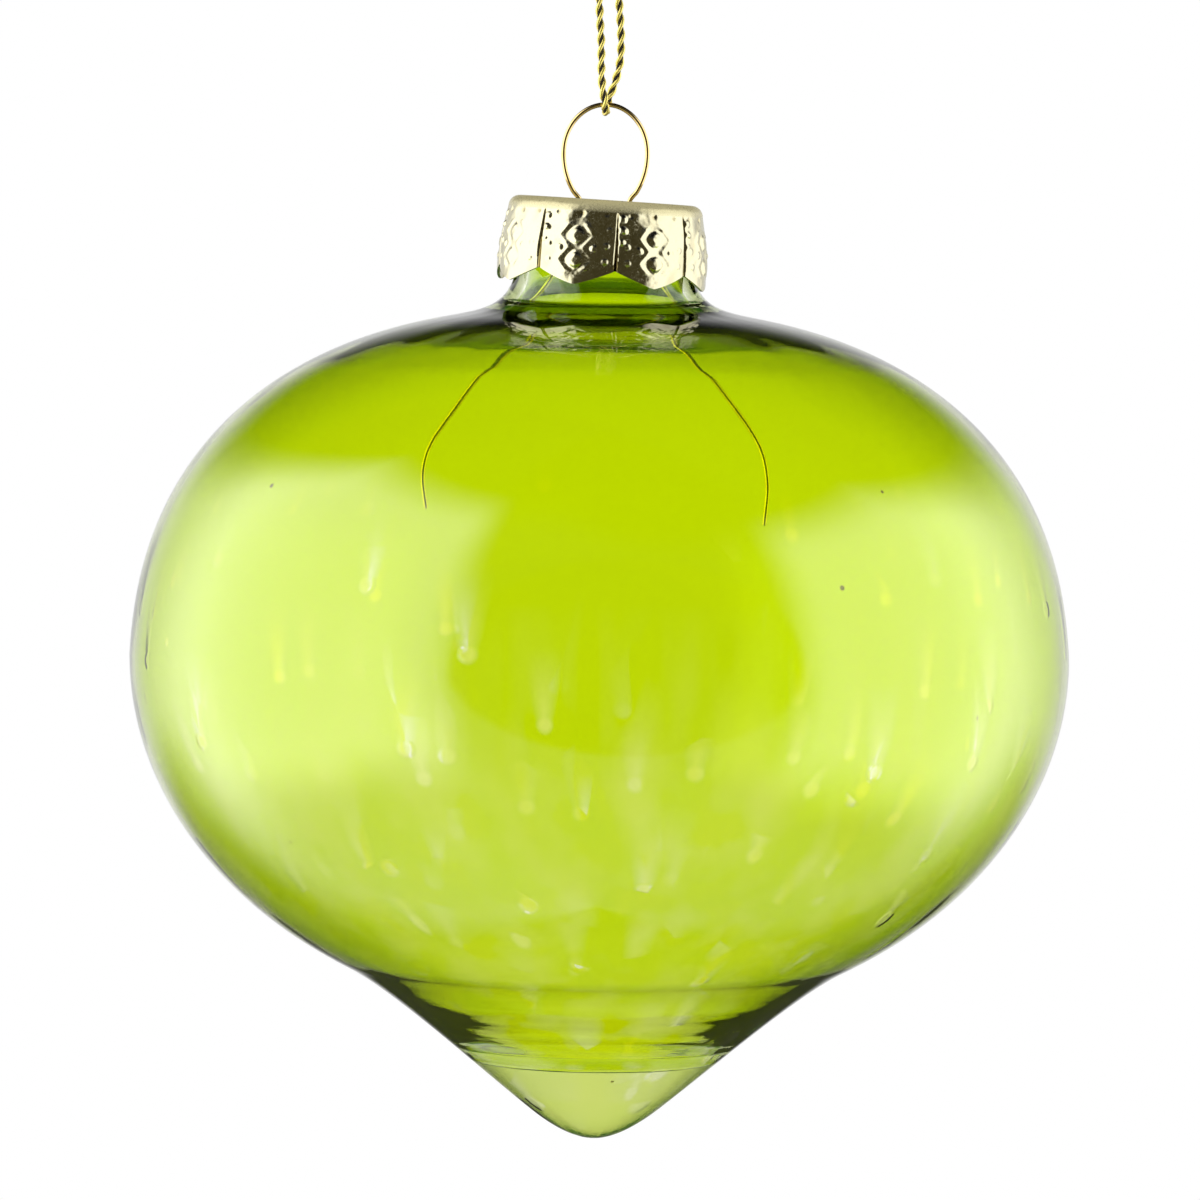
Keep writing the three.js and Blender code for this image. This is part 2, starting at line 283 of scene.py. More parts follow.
def noise(tree, place, grain, detail):
    """Soft noise of a grain this large, with finer layers in it for the detail."""
    return add(tree, "ShaderNodeTexNoise", {
        "Vector": place, "Scale": 1 / grain, "Detail": detail})["Fac"]


def bumps(tree, height, strength, distance):
    """The surface's direction over small heights, the largest of which is the distance."""
    return add(tree, "ShaderNodeBump", {
        "Height": height, "Strength": strength, "Distance": distance})["Normal"]


def wrap_place(tree):
    """The mesh's own wrap coordinates."""
    return add(tree, "ShaderNodeAttribute", attribute_name="wrap")["Vector"]


def object_place(tree):
    """The place in the object, in metres."""
    return add(tree, "ShaderNodeTexCoord")["Object"]


def surface(tree, inputs):
    """The surface that the inputs describe, as the material's output."""
    shader = add(tree, "ShaderNodeBsdfPrincipled", inputs)["BSDF"]
    add(tree, "ShaderNodeOutputMaterial", {"Surface": shader})


def clear_glass():
    """Blown soda-lime glass, fire-polished: colourless and smooth, with the long low waves of
    blowing that bend reflections a little, and fine rings round it from being turned as it was
    drawn out."""
    material, tree = new_material("blown_soda_lime_glass")
    wrap = wrap_place(tree)
    waves = noise(tree, wrap, 14, 1.0)
    rings = noise(tree, scaled(tree, wrap, (0.02, 0.02, 1.0)), 0.9, 2.0)
    # The rings are strong where the point was drawn and faint over the rest.
    drawn = ramp(tree, split(tree, wrap)["Z"], 34.0, 22.0, 0.01, 0.12)
    ridges = calc(tree, "MULTIPLY", rings, drawn)
    height = calc(tree, "MULTIPLY_ADD", waves, 0.5, ridges)
    surface(tree, {
        "Base Color": linear("#FDFFFB"), "Roughness": 0.01, "IOR": 1.5,
        "Specular IOR Level": 1.0, "Transmission Weight": 1.0,
        "Normal": bumps(tree, height, 0.5, 0.25 * MM)})
    return material


RUN_SQUASH = 0.33  # heights are shortened by this much where runs are placed
RUN_GRAIN = 6  # a run about every 6 mm across, and every 18 mm down
RUN_FOOT, RUN_TOP = -1.5, 1.7  # a run's two ends in the shortened height
HEAD_RISE = -1.3  # the middle of its head in the same height


def level(height):
    """A height in millimetres over the glass's widest level, in the object's own metres."""
    return (height - HANG) * MM


def drained_runs(tree, place):
    """Thin runs of drained lacquer, one in each cell of a cell pattern that is tall and narrow.
    A run is a tail that widens with a power of the distance from its foot and fades upwards, and
    a round head at its foot. Returned with the height and how far below the shoulder it is."""
    cells = scaled(tree, place, (1 / MM, 1 / MM, RUN_SQUASH / MM))
    pattern = add(tree, "ShaderNodeTexVoronoi", {"Vector": cells, "Scale": 1 / RUN_GRAIN})
    local = vector(tree, "SUBTRACT", cells, pattern["Position"])
    rise = split(tree, local)["Z"]
    # Sideways distance round the form: the cross product with the outward direction.
    flat = vector(tree, "MULTIPLY", local, (1.0, 1.0, 0.0))
    outward = vector(tree, "NORMALIZE", vector(tree, "MULTIPLY", place, (1.0, 1.0, 0.0)))
    off = vector(tree, "LENGTH", vector(tree, "CROSS_PRODUCT", outward, flat))
    up = ramp(tree, rise, RUN_FOOT, RUN_TOP)
    half_width = calc(tree, "MULTIPLY", calc(tree, "POWER", up, 0.35), 2.5)
    margin = calc(tree, "SUBTRACT", half_width, off)
    inside = eased(tree, margin, 0.0, 1.7)
    fading = calc(tree, "POWER", calc(tree, "SUBTRACT", 1.0, up), 1.6)
    tail = calc(tree, "MULTIPLY", inside, fading)
    over_head = calc(tree, "MULTIPLY_ADD", rise, 1 / RUN_SQUASH, -HEAD_RISE / RUN_SQUASH)
    to_head = add(tree, "ShaderNodeCombineXYZ", {"X": off, "Y": over_head})["Vector"]
    head = eased(tree, vector(tree, "LENGTH", to_head), 1.2, 0.5, 0.0, 0.95)
    run = calc(tree, "MAXIMUM", tail, head)
    # Runs start below the shoulder, where the lacquer was thick enough to flow.
    height = split(tree, place)["Z"]
    below = eased(tree, height, level(22), level(4))
    luck = split(tree, pattern["Color"])["X"]
    chosen = calc(tree, "MULTIPLY", run, ramp(tree, luck, 0.35, 0.8))
    return calc(tree, "MULTIPLY", chosen, below), height, below


def lime_lacquer():
    """Transparent lime lacquer, poured round the inside of the glass and drained: broad pale
    streaks low down, thin runs that end in a paler drop, a thinner coat in the point, and bare and
    dark specks. A dark ring in the bend at the neck's foot is painted shade."""
    material, tree = new_material("poured_lime_lacquer")
    place = object_place(tree)
    runs, height, below = drained_runs(tree, place)
    cloudy = noise(tree, scaled(tree, place, (1 / MM, 1 / MM, 0.15 / MM)), 7, 2.0)
    streaks = ramp(tree, cloudy, 0.42, 0.7, 0.0, 0.7)
    low_down = ramp(tree, height, level(8), level(-18))
    colour = tint(tree, calc(tree, "MULTIPLY", streaks, low_down), "#D0E900", "#E2EF62")
    # It is thicker in the neck.
    neck = ramp(tree, height, level(35.5), level(37.5))
    colour = tint(tree, neck, colour, "#BCDC04")
    # The dark ring in the bend below is painted shade, for the dark that the thick glass at the
    # neck's foot shows.
    from_bend = calc(tree, "ABSOLUTE", calc(tree, "SUBTRACT", height, level(35.8)))
    neck_foot_shade = eased(tree, from_bend, 1.4 * MM, 0.8 * MM)
    colour = tint(tree, neck_foot_shade, colour, "#2A4508")
    point = ramp(tree, height, level(-41.6), level(-42.8), 0.0, 0.5)
    colour = tint(tree, point, colour, "#EDF0A8")
    colour = tint(tree, runs, colour, "#FFFFF0")
    # Specks lie where a cell pattern's points come near the coat.
    grain = scaled(tree, place, (1 / MM,) * 3)
    specks = add(tree, "ShaderNodeTexVoronoi", {"Vector": grain, "Scale": 1 / 11})["Distance"]
    speck = calc(tree, "LESS_THAN", specks, 0.026)
    colour = tint(tree, speck, colour, "#5B5410")
    gaps = add(tree, "ShaderNodeTexVoronoi", {"Vector": grain, "Scale": 1 / 20})["Distance"]
    bare = calc(tree, "MULTIPLY", calc(tree, "LESS_THAN", gaps, 0.03), below)
    colour = tint(tree, bare, colour, "#FFFFFC")
    surface(tree, {
        "Base Color": colour, "Roughness": 0.02, "IOR": 1.5, "Transmission Weight": 0.95,
        "Normal": bumps(tree, runs, 0.6, 0.05 * MM)})
    return material


def lacquered_aluminium():
    """Thin aluminium sheet, stamped and lacquered pale gold: bright and smooth, with the faint
    unevenness of pressed foil, a darker gold painted in as shade in the folds, crease lines and
    pricked dots, and a top worn duller. Of the wrap attribute, X marks the painted shade and Y
    marks the top."""
    material, tree = new_material("stamped_gold_lacquered_aluminium")
    place = object_place(tree)
    dents = noise(tree, place, 1.6 * MM, 2.0)
    fine = noise(tree, place, 0.25 * MM, 2.0)
    marks = split(tree, wrap_place(tree))
    # Painted shade: a darker gold where X marks folds, crease lines and pricked dots.
    bright = tint(tree, marks["X"], "#D6D0AE", "#857235")
    colour = tint(tree, marks["Y"], bright, "#CFC592")
    worn = calc(tree, "MULTIPLY_ADD", marks["Y"], 0.32, fine)
    rough = ramp(tree, worn, 0.4, 0.9, 0.09, 0.4)
    metal = calc(tree, "MULTIPLY_ADD", marks["Y"], -0.7, 1.0)
    surface(tree, {
        "Base Color": colour, "Metallic": metal, "Roughness": rough,
        "Normal": bumps(tree, dents, 1.0, 0.09 * MM)})
    return material


def drawn_brass(name, bright, dull, roughness):
    """Brass spring wire, drawn and bright: fine lines run along it, and the gold is uneven where
    it has begun to tarnish."""
    material, tree = new_material(name)
    wrap = wrap_place(tree)
    lines = noise(tree, scaled(tree, wrap, (1.0, 1.0, 0.04)), 0.05, 2.0)
    tarnish = ramp(tree, noise(tree, wrap, 1.8, 3.0), 0.5, 0.75, 0.0, 0.5)
    surface(tree, {
        "Base Color": tint(tree, tarnish, bright, dull), "Metallic": 1.0, "Roughness": roughness,
        "Normal": bumps(tree, lines, 0.2, 0.01 * MM)})
    return material


def metallised_thread():
    """Metallised film spun round a thread: pale gold, bright, with the slanted edges of the film
    0.12 mm apart, and painted shade, a darker gold, in the groove at each edge."""
    material, tree = new_material("metallised_film_thread")
    place = split(tree, wrap_place(tree))
    turn = calc(tree, "ARCTAN2", place["Y"], place["X"])
    lead = calc(tree, "MULTIPLY", place["Z"], 2 * math.pi / 0.12)
    edge = calc(tree, "SINE", calc(tree, "ADD", turn, lead))
    # Painted shade: the darker gold lies in the groove at each film edge.
    colour = tint(tree, ramp(tree, edge, -1.0, -0.2, 0.7, 0.0), "#FFEF88", "#CBAC28")
    surface(tree, {
        "Base Color": colour, "Metallic": 0.85, "Roughness": 0.25,
        "Normal": bumps(tree, edge, 0.5, 0.015 * MM)})
    return material


def dark_thread():
    """A dull, nearly black core strand that the gold threads are twisted round, and that makes the
    dark gaps between them: fuzzy fibres 0.05 mm apart."""
    material, tree = new_material("dark_core_strand")
    fibres = noise(tree, wrap_place(tree), 0.05, 2.0)
    surface(tree, {"Base Color": tint(tree, fibres, "#0E0B06", "#2A2210"), "Roughness": 0.85})
    return material


# Cord. Its points are counted from the middle of the ring's top wire, 15 mm under the hook.
CORD_RISE = HANG - 15
CORD_RADIUS, PLY_RADIUS, CORE_RADIUS = 0.45, 0.2, 0.27
PLY_PITCH = 3.06
CORD_STEP, CORD_END = 0.08, 0.15  # between two points of a ply, and the rounding of a cut end
CORD_POINTS = [
    [-0.8, -0.1, 16], [-0.85, -0.2, 14], [-0.85, -0.35, 11.5], [-0.75, -0.5, 9], [-0.6, -0.7, 6.8],
    [-0.55, -0.95, 4.75], [-0.52, -1.25, 3.2], [-0.42, -1.55, 2], [-0.26, -1.75, 0.95],
    [-0.15, -1.62, 0.28], [-0.08, -1.24, -0.29], [-0.03, -0.67, -0.67], [0, 0, -0.8],
    [0.03, 0.67, -0.67], [0.1, 1.24, -0.29], [0.22, 1.62, 0.28], [0.4, 1.75, 0.95],
    [0.78, 1.6, 2], [1.15, 1.3, 3.2], [1.45, 0.95, 4.75], [1.52, 0.7, 6.8],
    [1.4, 0.5, 9], [1.2, 0.35, 11.5], [0.95, 0.2, 14], [0.8, 0.1, 16],
]
cord_gold, cord_dark = metallised_thread(), dark_thread()


def rope(line, side, phase=0.0):
    """Two gold plies that circle the line once every pitch, half a turn apart, and a dark core
    between them, as three shells."""
    first, second = across(line, side)
    turn = lengths(line)[:, None] * 2 * math.pi / PLY_PITCH + phase
    shells = []
    for half in (0, math.pi):
        ply = line + (CORD_RADIUS - PLY_RADIUS) * (
            np.cos(turn + half) * first + np.sin(turn + half) * second)
        shells.append(bar(ply, PLY_RADIUS, 12, side, CORD_END))
    shells.append(bar(line, CORE_RADIUS, 10, side, CORD_END, 1))
    return shells


cord_line = even(through(CORD_POINTS), CORD_STEP) + [0, 0, CORD_RISE]
cord = piece("cord_rope", rope(cord_line, (1, 0, 0)), [cord_gold, cord_dark], "cord",
             ["cord_loop"])

# Knot: one strand wound round the other, and two cut tails, in the space of its solid.
KNOT_FOOT = CORD_RISE + 16
KNOT_TURNS, KNOT_START_TURN = 2.6, 0.6
KNOT_TUCK = 0.1  # share of the winding over which its end is tucked in
KNOT_INNER, KNOT_BULGE = 0.5, 0.54
KNOT_LIFT, KNOT_HEIGHT = 0.8, 2.2


def knot_shells():
    """The winding is a helix whose radius draws in over its last tenth at either end. The strands
    inside it run straight up and lean out as the tails."""
    share = np.linspace(0, 1, 160)[:, None]
    angle = share * KNOT_TURNS * 2 * math.pi + KNOT_START_TURN
    tuck = np.clip(np.minimum(share, 1 - share) / KNOT_TUCK, 0, 1)
    radius = KNOT_INNER + KNOT_BULGE * np.sin(tuck * math.pi / 2)
    height = KNOT_FOOT + KNOT_LIFT + KNOT_HEIGHT * share
    winding = np.concatenate([radius * np.cos(angle), radius * np.sin(angle), height], axis=1)
    shells = rope(even(winding, CORD_STEP), (0, 0, 1), 0.7)
    for way in (-1, 1):
        strand = through([
            [way * 0.62, 0, KNOT_FOOT + 0.06], [way * 0.42, 0, KNOT_FOOT + 0.9],
            [way * 0.36, 0, KNOT_FOOT + 2.2], [way * 0.6, 0, KNOT_FOOT + 3.3],
            [way * 1.1, 0.1 * way, KNOT_FOOT + 5.2], [way * 1.55, 0.05 * way, KNOT_FOOT + 7]])
        shells += rope(even(strand, CORD_STEP), (0, 1, 0), way)
    return shells


knot = piece("cord_tie", knot_shells(), [cord_gold, cord_dark], "knot", ["cord_knot"])


# Glass. The outline is drawn as the CAD source draws its own, with finer steps, and its lower
# half and its fillet follow the photograph a little more closely.
BULB_RADIUS, LOWER_DEPTH = 50.0, 39.2
UPPER_RISE, UPPER_SINK, UPPER_POWER = 41.8, 4.5, 2.42
FLARE_RADIUS, FLARE_START = 27.0, 5.0
CONE_RADIUS, CONE_HEIGHT, CONE_SLOPE, CONE_START = 7.0, -48.4, 0.8, 6.0
TIP_HEIGHT = -51.7
SHOULDER_RADIUS, NECK_RADIUS, NECK_TURN, FILLET_DROP = 17.6, 9.2, 5.1, 6.6
NECK_STRAIGHT, NECK_RIM, NECK_WALL = 43.5, 47.6, 1.2
# The wall by height, heavy where the point was drawn and where the neck springs.
WALLS = np.array([
    [-47, 0.3], [-42.7, 0.6], [-42.3, 1.6], [-40, 1.25], [-36.5, 0.84], [-32.5, 0.6], [31, 0.6],
    [33.3, 0.7], [34.2, 0.77], [35.1, 0.83], [36, 0.89], [36.2, 1], [36.9, 1.75], [37.7, 1.8],
    [38, 2], [38.4, 1.95], [41, 1.45], [NECK_STRAIGHT, NECK_WALL]])
RIPPLE = 0.015  # how much the wall of the drawn glass varies
UPPER_RADIUS = BULB_RADIUS / (1 - (UPPER_SINK / UPPER_RISE) ** UPPER_POWER) ** (1 / UPPER_POWER)


def lower_height(radius):
    """Height of the ellipse below the widest level."""
    return -LOWER_DEPTH * np.sqrt(np.maximum(1 - (radius / BULB_RADIUS) ** 2, 0))


def upper_height(radius):
    """Height of the squarer curve above it, whose powers of radius and height sum to one."""
    share = 1 - (radius / UPPER_RADIUS) ** UPPER_POWER
    return UPPER_RISE * np.maximum(share, 0) ** (1 / UPPER_POWER) - UPPER_SINK


def slope(height, radius):
    """How fast the height changes with the radius, from two radii close together."""
    return float(height(radius + 0.01) - height(radius - 0.01)) / 0.02


def bezier(points, count):
    """The Bezier curve of three or four points, from its Bernstein polynomials."""
    share = np.linspace(0, 1, count)[:, None]
    order = len(points) - 1
    return sum(
        math.comb(order, i) * share ** i * (1 - share) ** (order - i) * np.array(p, float)
        for i, p in enumerate(points))


def glass_outline():
    """Radius and height from the tip to where the neck runs straight: a rounded tip, a concave
    flare, half an ellipse, a squarer curve, and a fillet up into the neck."""
    flare, shoulder = lower_height(FLARE_RADIUS), upper_height(SHOULDER_RADIUS)
    down, up = slope(lower_height, FLARE_RADIUS), slope(upper_height, SHOULDER_RADIUS)
    tip_edge = CONE_RADIUS - (CONE_HEIGHT - TIP_HEIGHT) / CONE_SLOPE
    tip = bezier([(0, TIP_HEIGHT), (tip_edge, TIP_HEIGHT), (CONE_RADIUS, CONE_HEIGHT)], 14)
    drawn = bezier([
        (CONE_RADIUS, CONE_HEIGHT),
        (CONE_RADIUS + CONE_START, CONE_HEIGHT + CONE_START * CONE_SLOPE),
        (FLARE_RADIUS - FLARE_START, flare - FLARE_START * down), (FLARE_RADIUS, flare)], 34)
    angle = np.linspace(math.asin(FLARE_RADIUS / BULB_RADIUS), math.pi / 2, 42)
    radius = BULB_RADIUS * np.sin(angle)
    lower = np.stack([radius, lower_height(radius)], axis=1)
    lower[-1, 1] = 0
    angle = np.linspace(
        math.asin(BULB_RADIUS / UPPER_RADIUS), math.asin(SHOULDER_RADIUS / UPPER_RADIUS), 54)
    radius = UPPER_RADIUS * np.sin(angle)
    upper = np.stack([radius, upper_height(radius)], axis=1)
    fillet = bezier([
        (SHOULDER_RADIUS, shoulder), (SHOULDER_RADIUS - NECK_TURN, shoulder - NECK_TURN * up),
        (NECK_RADIUS, NECK_STRAIGHT - FILLET_DROP), (NECK_RADIUS, NECK_STRAIGHT)], 34)
    return np.concatenate([tip, drawn[1:], lower[1:], upper[1:], fillet[1:]])


def glass_shell():
    """The outline turned round the axis, with the fire-polished half-round lip, and the inside:
    the outline moved inwards square to itself by the wall. Where the glass was drawn out, the
    inside ripples: the wall varies with sines of the height and, slowly, of the angle."""
    outside = glass_outline()
    angle = np.arange(192) / 192 * 2 * math.pi
    x, y = np.cos(angle)[None], np.sin(angle)[None]
    along = unit(np.gradient(outside, axis=0))
    wall = np.interp(outside[:, 1], WALLS[:, 0], WALLS[:, 1])[:, None]
    height = outside[:, 1:]
    ripple = np.sin(height * 7.5 + 2 * np.sin(angle * 3 + 1)) + 0.7 * np.sin(
        height * 13 + 3 * np.sin(angle * 2 + 4)) + 0.8 * np.sin(angle * 9 + height * 1.7)
    drawn = np.clip((height + 44) / 2, 0, 1) * np.clip((-34 - height) / 5, 0, 1)
    wall = wall + RIPPLE * ripple * drawn
    outer_radius = np.broadcast_to(outside[:, :1], wall.shape)
    outer = grid_of(outer_radius * x, outer_radius * y, height)
    inner_radius = outside[:, :1] - along[:, 1:] * wall
    inner_height = height + along[:, :1] * wall
    inner_radius[0], inner_height[0] = 0, TIP_HEIGHT + wall[0].mean()
    inner = grid_of(inner_radius * x, inner_radius * y, inner_height)
    turn = np.linspace(0, math.pi, 12)[:, None]
    lip_radius = NECK_RADIUS - NECK_WALL / 2 * (1 - np.cos(turn))
    lip_height = NECK_RIM - NECK_WALL / 2 * (1 - np.sin(turn))
    lip = grid_of(lip_radius * x, lip_radius * y, lip_height)
    grid = np.concatenate([outer, lip, inner[::-1]])
    run = lengths(outside)
    arc = np.concatenate([run, np.full(len(lip), run[-1] + 4), run[::-1]])[:, None]
    wrap = grid_of(BULB_RADIUS * x, BULB_RADIUS * y, arc)
    paint = (np.arange(len(grid) - 1) >= len(outside) + len(lip) // 2).astype(int)
    return grid, wrap, paint


piece("blown_glass", [glass_shell()], [clear_glass(), lime_lacquer()], "bulb",
      ["glass_bulb"], crease=80)


# Crown cap. Depths are counted down from its top face, and sideways places from a gore's middle.
CAP_TOP, CAP_RADIUS, CAP_SWELL, CAP_SWELL_TURN = 48.5, 10.35, 0.6, 1.9
CAP_CORNER, CAP_SHEET, GORES, GORE_TURN = 1.2, 0.3, 8, -15
LOBE_DEPTH, PLEAT_DEPTH, LOBE_POWER = 9.0, 7.4, 1.2
PLEAT_FOLD, PLEAT_WIDTH, GORE_CROWN = 0.34, 0.03, 0.3
CREASE, CREASE_WIDTH = 0.1, 0.1  # the sharp line at the bottom of a fold
CAP_TILT, CAP_SHIFT = 3, 0.15
HOLE_RADIUS, WIRE_SPACING = 0.75, 2.65
GORE_HALF = 4.16
STAMP_TOP, STAMP_EASE, HEM_EASE = 0.9, 0.6, 0.5  # where the stamping starts, and its soft ends
# Two domed diamonds, one above the other.
DIAMOND_DEPTHS, DIAMOND_HALF = (3.85, 6.45), 0.95
DIAMOND_RISE, DIAMOND_STEEP, DIAMOND_POWER = 0.24, 1.6, 1.5
# The zigzag line on either side of them: where it runs, its swing and the line itself.
ZIGZAG_START, ZIGZAG_END, ZIGZAG_EASE = 2.5, 7.7, 0.3
ZIGZAG_TURN, ZIGZAG_STEP, ZIGZAG_NEAR, ZIGZAG_SWING = 2.55, 1.3, 0.8, 1.1
ZIGZAG_WIDTH, ZIGZAG_SLANT, ZIGZAG_RISE = 0.28, 0.77, 0.1
# Round bumps: sideways, depth, radius and height, the same on both sides of each gore.
BUMPS = [
    (1.8, 5.2, 0.5, 0.17), (3.1, 4.85, 0.42, 0.14), (3.0, 6.5, 0.42, 0.14), (3.35, 3.2, 0.38, 0.1)]
# Bumps beside each fold, on one side of it only.
FOLD_BUMPS = [(-3.6, 1.95, 0.5, 0.2), (-3.6, 3.1, 0.45, 0.18), (-3.65, 4.4, 0.4, 0.15)]
BUMP_POWER = 1.2
# Pricked dots: how many round the cap, degrees from the front to one of them, and their form.
DOTS, DOT_TURN, DOT_DEPTH, DOT_RADIUS, DOT_SINK = 25, 1, 1.5, 0.24, 0.16
# Slow dents: waves round the cap, radians on the way down a millimetre, and where they start.
DENTS = [(9, 0.7, 0.3), (17, 1.3, 2.1), (26, -1.1, 4.4), (38, 2.2, 1.2)]


def cap_relief(gore, angle, depth):
    """How far the stamping stands out: domed diamonds, whose edges are where the powers of the
    distances sideways and down sum to one, a zigzag ridge on either side that follows them, round
    bumps, a row of pricked dots under the top edge, and slow dents."""
    side = gore * GORE_HALF
    wide = np.abs(side)
    relief = np.zeros(np.broadcast(side, depth).shape)
    for middle in DIAMOND_DEPTHS:
        off = (wide ** DIAMOND_POWER + np.abs(depth - middle) ** DIAMOND_POWER) ** (
            1 / DIAMOND_POWER)
        dome = np.clip((1 - off / DIAMOND_HALF) * DIAMOND_STEEP, 0, 1)
        relief += DIAMOND_RISE * np.sin(dome * math.pi / 2)
    step = np.abs((depth - ZIGZAG_TURN) / ZIGZAG_STEP % 2 - 1)
    line = ZIGZAG_NEAR + ZIGZAG_SWING * (1 - step)
    held = np.clip((depth - ZIGZAG_START) / ZIGZAG_EASE, 0, 1) * np.clip(
        (ZIGZAG_END - depth) / ZIGZAG_EASE, 0, 1)
    relief += ZIGZAG_RISE * held * np.exp(-((wide - line) * ZIGZAG_SLANT / ZIGZAG_WIDTH) ** 2)
    for across_gore, bumps_there in ((wide, BUMPS), (side, FOLD_BUMPS)):
        for place, middle, size, height in bumps_there:
            off_square = (across_gore - place) ** 2 + (depth - middle) ** 2
            relief += height * np.clip(1 - off_square / size ** 2, 0, 1) ** BUMP_POWER
    turn = (np.degrees(angle) + 90 - DOT_TURN) / 360 * DOTS
    beside = (turn - np.round(turn)) * 2 * math.pi * CAP_RADIUS / DOTS
    relief -= DOT_SINK * np.exp(-(beside ** 2 + (depth - DOT_DEPTH) ** 2) / DOT_RADIUS ** 2)
    for waves, lean, start in DENTS:
        relief += 0.5 / (waves + 14) * np.sin(waves * angle + lean * depth + start)
    return relief


def stamped(depth):
    """How much of the stamping is there at this depth: none on the top and its corner."""
    return np.clip((depth - STAMP_TOP) / STAMP_EASE, 0, 1)


def cap_shell():
    """Each column of the grid runs from the middle of the top over the rounded corner down the
    swelling skirt to the hem, and back inside. The hem is a shallow point in each gore."""
    per_gore = 72
    column = np.arange(GORES * per_gore)
    gore = (column % per_gore) / per_gore * 2 - 1
    angle = np.radians(GORE_TURN + (column // per_gore + gore / 2) * 360 / GORES - 90)
    hem = PLEAT_DEPTH + (LOBE_DEPTH - PLEAT_DEPTH) * (1 - np.abs(gore) ** LOBE_POWER)
    flat = np.linspace(0, CAP_RADIUS - CAP_CORNER, 9)[:-1]
    corner = np.linspace(0, math.pi / 2, 9)
    share = np.linspace(0, 1, 53)[1:]
    shade = np.concatenate([np.zeros(len(flat) + len(corner)), share])[:, None]
    radius = np.concatenate([
        flat, CAP_RADIUS - CAP_CORNER + CAP_CORNER * np.sin(corner),
        CAP_RADIUS + CAP_SWELL * np.sin(share * CAP_SWELL_TURN)])[:, None]
    over = np.concatenate([np.zeros(len(flat)), CAP_CORNER * (1 - np.cos(corner))])[:, None]
    down = CAP_CORNER + share[:, None] * (hem - CAP_CORNER)
    depth = np.concatenate([np.broadcast_to(over, (len(over), len(hem))), down])
    out_r = np.concatenate([np.zeros(len(flat)), np.sin(corner), np.ones(len(share))])[:, None]
    out_z = np.concatenate([np.ones(len(flat)), np.cos(corner), np.zeros(len(share))])[:, None]
    fold = np.exp(-((1 - np.abs(gore)) / PLEAT_WIDTH) ** 2)
    line = np.exp(-((1 - np.abs(gore)) * GORE_HALF / CREASE_WIDTH) ** 2)
    low = stamped(depth)
    formed = shade * (GORE_CROWN * (1 - gore ** 2) - PLEAT_FOLD * fold) - CREASE * low * line
    ease = np.clip((hem - depth) / HEM_EASE, 0, 1)
    relief = cap_relief(gore, angle, depth) * low * (0.25 + 0.75 * ease)
    outside = radius + formed + relief * out_r
    inside = radius + formed + 0.5 * relief * out_r - CAP_SHEET * out_r
    x, y = np.cos(angle), np.sin(angle)
    outer = grid_of(outside * x, outside * y, -depth)
    inner = grid_of(inside * x, inside * y, -depth - CAP_SHEET * out_z)
    return np.concatenate([outer, inner[::-1]])


def cap_marks(points):
    """For points of the cap, in X how much painted shade they get in a fold, a crease line or a
    pricked dot, and in Y how near they are to the top. The same formulas as the shell's give both."""
    angle, depth = np.arctan2(points[:, 1], points[:, 0]), -points[:, 2]
    turn = (np.degrees(angle) + 90 - GORE_TURN) / 360 * GORES
    gore = (turn - np.round(turn)) * 2
    beside = 1 - np.abs(gore)
    low = stamped(depth)
    # Painted shade: deepest in the folds low on the skirt, on the crease lines, and where the
    # stamping sinks, as in the pricked dots.
    fold_shade = np.clip(depth / LOBE_DEPTH, 0, 1) * np.exp(-(beside / PLEAT_WIDTH) ** 2) * 0.6
    crease_line_shade = low * np.exp(-(beside * GORE_HALF / CREASE_WIDTH) ** 2) * 0.5
    pricked = -4 * low * np.minimum(cap_relief(gore, angle, depth), 0)
    crease = np.clip(fold_shade + crease_line_shade + pricked, 0, 1)
    return np.stack([crease, np.clip(1.3 - depth, 0, 1) ** 0.5, 0 * depth], axis=1)


def cap_piece():
    """The cap's shell with its two drilled holes, tilted a little and set on the neck. The marks
    come last, because cutting the holes clears the attribute that holds them."""
    tilt = math.radians(CAP_TILT)
    lean = np.array([
        [math.cos(tilt), 0, -math.sin(tilt)], [0, 1, 0], [math.sin(tilt), 0, math.cos(tilt)]])
    placed = cap_shell() @ lean + [CAP_SHIFT, 0, CAP_TOP]
    made = piece("stamped_crown_cap", [(placed, 0 * placed, 0)], [lacquered_aluminium()], "hanger",
                 ["crown_cap"], crease=40)
    turn = Matrix.Translation(Vector((CAP_SHIFT, 0, CAP_TOP - HANG)) * MM) @ Matrix.Rotation(
        tilt, 4, "Y")
    for way in (-1, 1):
        bpy.ops.mesh.primitive_cylinder_add(
            vertices=36, radius=HOLE_RADIUS * MM, depth=4 * CAP_SHEET * MM)
        drill = bpy.context.object
        drill.matrix_world = turn @ Matrix.Translation(
            Vector((way * WIRE_SPACING, 0, -CAP_SHEET / 2)) * MM)
        cut = made.modifiers.new("hole", "BOOLEAN")
        cut.operation, cut.object, cut.solver = "DIFFERENCE", drill, "EXACT"
        bpy.context.view_layer.update()
        shown = made.evaluated_get(bpy.context.evaluated_depsgraph_get())
        cut_mesh = bpy.data.meshes.new_from_object(shown)
        made.modifiers.clear()
        made.data = cut_mesh
        bpy.data.objects.remove(drill)
    points = np.empty(len(made.data.vertices) * 3)
    made.data.vertices.foreach_get("co", points)
    upright = (points.reshape(-1, 3) / MM + [-CAP_SHIFT, 0, HANG - CAP_TOP]) @ lean.T
    made.data.attributes["wrap"].data.foreach_set("vector", cap_marks(upright).ravel())
    return made


cap_piece()

